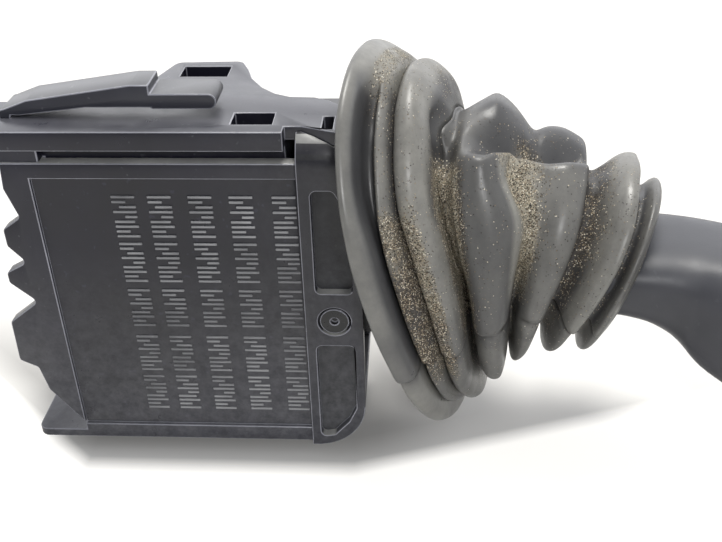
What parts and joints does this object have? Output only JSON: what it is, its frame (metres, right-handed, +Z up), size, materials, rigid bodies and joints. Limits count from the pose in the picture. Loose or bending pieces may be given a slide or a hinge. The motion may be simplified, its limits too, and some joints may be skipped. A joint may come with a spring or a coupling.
{
  "type": "combination stalk switch",
  "caption": "Steering column stalk switch: moulded contact housing with release latch, bellows boot and bent lever that swings up and down and pulls towards the driver.",
  "frame": {"origin": "underside of the bottom plate, at the middle of the housing's depth, 23.3 mm inboard of the joint with the nose frame", "axes": "+X out along the lever, -Y towards the driver (the marked face), +Z up"},
  "size_m": [0.2017, 0.0859, 0.0637],
  "materials": {
    "black_moulding": "injection moulded glass-filled nylon, satin black",
    "nose_moulding": "injection moulded nylon, satin black",
    "pin_black": "moulded black rivet pin",
    "terminal_plastic": "moulded black polyester",
    "brass_strip": "stamped brass",
    "inner_plastic": "natural acetal",
    "boot_rubber": "moulded EPDM rubber, dusty",
    "steel_pin": "ground steel",
    "spring_steel": "spring wire",
    "lever_plastic": "fine-grained satin black nylon"
  },
  "bodies": {
    "housing": {"housing_body": "black_moulding", "rear_cover": "black_moulding", "nose_frame": "nose_moulding", "yoke_pivot_pin": "pin_black", "terminal_block": "terminal_plastic", "blade_terminals": "brass_strip", "contact_board": "terminal_plastic", "fixed_contacts": "brass_strip", "pull_board": "terminal_plastic", "detent_track": "inner_plastic", "gaiter": "boot_rubber", "return_spring": "spring_steel"},
    "latch": {"release_latch": "black_moulding"},
    "yoke": {"tilt_yoke": "inner_plastic", "flash_pivot_pin": "steel_pin", "detent_spring": "spring_steel"},
    "plunger": {"detent_plunger": "inner_plastic"},
    "lever": {"lever_core": "inner_plastic", "lever_front_shell": "lever_plastic", "lever_back_cover": "lever_plastic", "lever_cross_pin": "steel_pin"},
    "tilt_carrier": {"tilt_carrier": "inner_plastic", "tilt_bridges": "brass_strip"},
    "pull_carrier": {"pull_carrier": "inner_plastic", "pull_bridge": "brass_strip"}
  },
  "joints": [
    {"name": "latch_flex", "type": "hinge", "parent": "housing", "child": "latch", "pos_m": [-0.018, -0.0021, 0.05522], "axis": [0, 1, 0], "range_deg": [0, 2], "stiffness_Nm_per_rad": 0.5},
    {"name": "stalk_tilt", "type": "hinge", "parent": "housing", "child": "yoke", "pos_m": [0.0277, 0, 0.0246], "axis": [0, 1, 0], "range_deg": [-8, 8], "deforming": ["gaiter"]},
    {"name": "detent_slide", "type": "slide", "parent": "yoke", "child": "plunger", "axis": [1, 0, 0], "range_m": [0, 0.0015], "stiffness_N_per_m": 60, "deforming": ["detent_spring"]},
    {"name": "stalk_pull", "type": "hinge", "parent": "yoke", "child": "lever", "pos_m": [0.0355, 0, 0.0284], "axis": [0, 0, -1], "range_deg": [0, 7], "stiffness_Nm_per_rad": 1, "deforming": ["gaiter"]},
    {"name": "tilt_shift", "type": "slide", "parent": "housing", "child": "tilt_carrier", "axis": [0, 0, 1], "range_m": [-0.00225, 0.00225]},
    {"name": "pull_shift", "type": "slide", "parent": "housing", "child": "pull_carrier", "axis": [0, 1, 0], "range_m": [0, 0.0025], "deforming": ["return_spring"]}
  ],
  "couplings": [
    {"joint": "tilt_shift", "follows": "stalk_tilt", "m_per_rad": 0.0157},
    {"joint": "pull_shift", "follows": "stalk_pull", "m_per_rad": 0.02}
  ]
}
